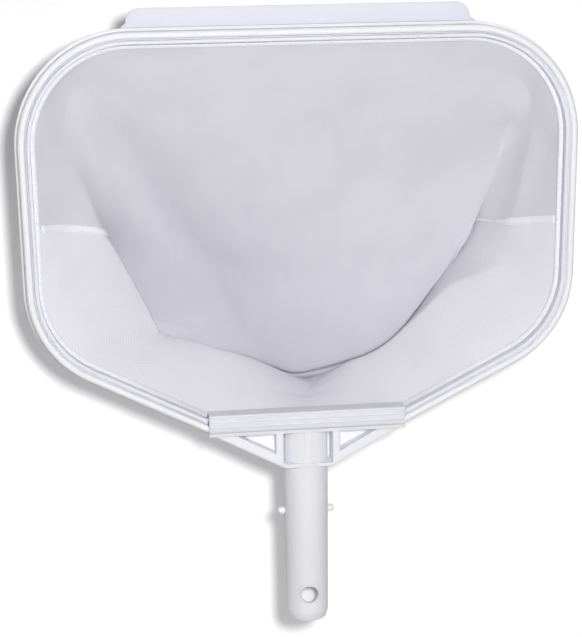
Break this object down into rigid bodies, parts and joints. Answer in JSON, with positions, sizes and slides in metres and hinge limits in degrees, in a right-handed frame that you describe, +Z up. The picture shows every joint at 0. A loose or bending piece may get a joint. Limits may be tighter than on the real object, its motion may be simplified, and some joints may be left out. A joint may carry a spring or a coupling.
{
  "type": "leaf skimmer net",
  "caption": "Pool leaf skimmer head: a moulded hoop with a scoop lip and a deep fine net bag, on a spigot with two spring buttons that locks into a telescopic pole.",
  "frame": {"origin": "on the spigot's axis at its shoulder, where the end of the pole stops", "axes": "+Z up out of the bag's mouth, +Y from the spigot to the scoop lip, +X to the right seen from the spigot"},
  "size_m": [0.3506, 0.3944, 0.1173],
  "materials": {
    "frame_plastic": "satin white polypropylene",
    "strip_plastic": "satin white polypropylene",
    "net": "fine off-white polyester mesh",
    "tape": "white woven polyester tape",
    "clip_plastic": "smooth white acetal"
  },
  "bodies": {
    "head": {"frame": "frame_plastic", "retaining_strip": "strip_plastic", "clamp_bar": "frame_plastic", "scoop_lip": "frame_plastic", "net_hem": "tape", "net_front_panel": "net", "net_rear_panel": "net", "side_seam_left": "tape", "side_seam_right": "tape", "bottom_seam": "tape", "clip_bend": "clip_plastic"},
    "left_button": {"button_arm_left": "clip_plastic"},
    "right_button": {"button_arm_right": "clip_plastic"}
  },
  "joints": [
    {"name": "left_button_press", "type": "hinge", "parent": "head", "child": "left_button", "pos_m": [-0.007, -0.0684, 0], "axis": [0, 0, -1], "range_deg": [0, 6.5], "stiffness_Nm_per_rad": 2.5, "springref_deg": -3.44},
    {"name": "right_button_press", "type": "hinge", "parent": "head", "child": "right_button", "pos_m": [0.007, -0.0684, 0], "axis": [0, 0, 1], "range_deg": [0, 6.5], "stiffness_Nm_per_rad": 2.5, "springref_deg": -3.44}
  ]
}
